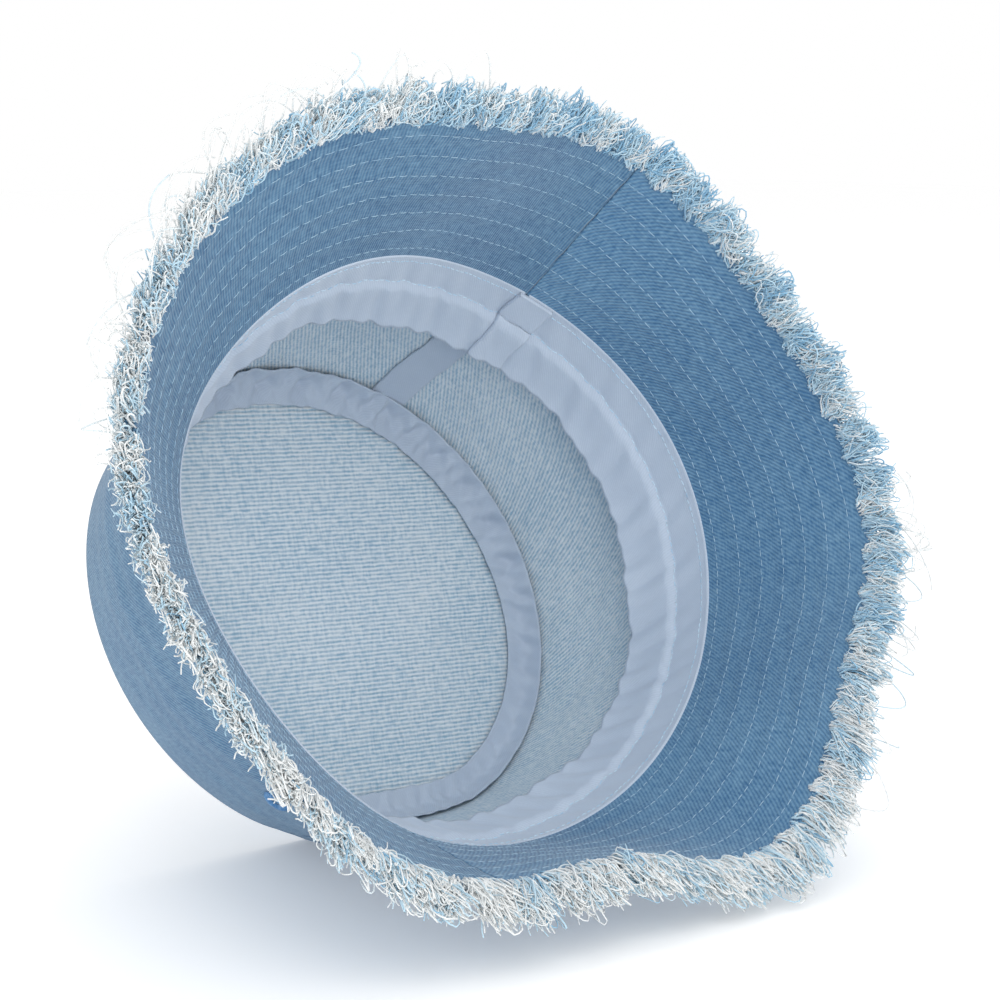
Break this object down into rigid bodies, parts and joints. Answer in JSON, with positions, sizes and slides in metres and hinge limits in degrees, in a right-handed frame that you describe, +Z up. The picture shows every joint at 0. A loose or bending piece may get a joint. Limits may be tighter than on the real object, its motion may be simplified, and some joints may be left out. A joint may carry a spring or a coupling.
{
  "type": "bucket hat",
  "caption": "Light-wash denim bucket hat with a frayed brim, lying on its side with the opening towards the viewer.",
  "frame": {"origin": "on the floor under the middle of the hat as it lies", "axes": "+Z up from the floor, head opening facing -Y and a little up"},
  "size_m": [0.2624, 0.1926, 0.2306],
  "materials": {
    "denim_face": "matte",
    "denim_reverse": "matte",
    "twill_tape": "matte",
    "frayed_yarn": "matte",
    "sewing_thread": "matte",
    "eyelet_thread": "matte"
  },
  "bodies": {
    "root": {"crown_top": "denim_face", "crown_side_front": "denim_face", "upper_brim_front": "denim_face", "under_brim_front": "denim_face", "brim_interlining_front": "denim_reverse", "frayed_edge_front": "frayed_yarn", "under_brim_stitching_front": "sewing_thread", "upper_brim_stitching_front": "sewing_thread", "crown_side_back": "denim_face", "upper_brim_back": "denim_face", "under_brim_back": "denim_face", "brim_interlining_back": "denim_reverse", "frayed_edge_back": "frayed_yarn", "under_brim_stitching_back": "sewing_thread", "upper_brim_stitching_back": "sewing_thread", "sweatband": "twill_tape", "sweatband_overlap": "twill_tape", "top_seam_tape": "twill_tape", "right_side_seam_tape": "twill_tape", "left_side_seam_tape": "twill_tape", "right_front_eyelet": "eyelet_thread", "right_back_eyelet": "eyelet_thread", "left_back_eyelet": "eyelet_thread", "left_front_eyelet": "eyelet_thread"}
  },
  "joints": []
}
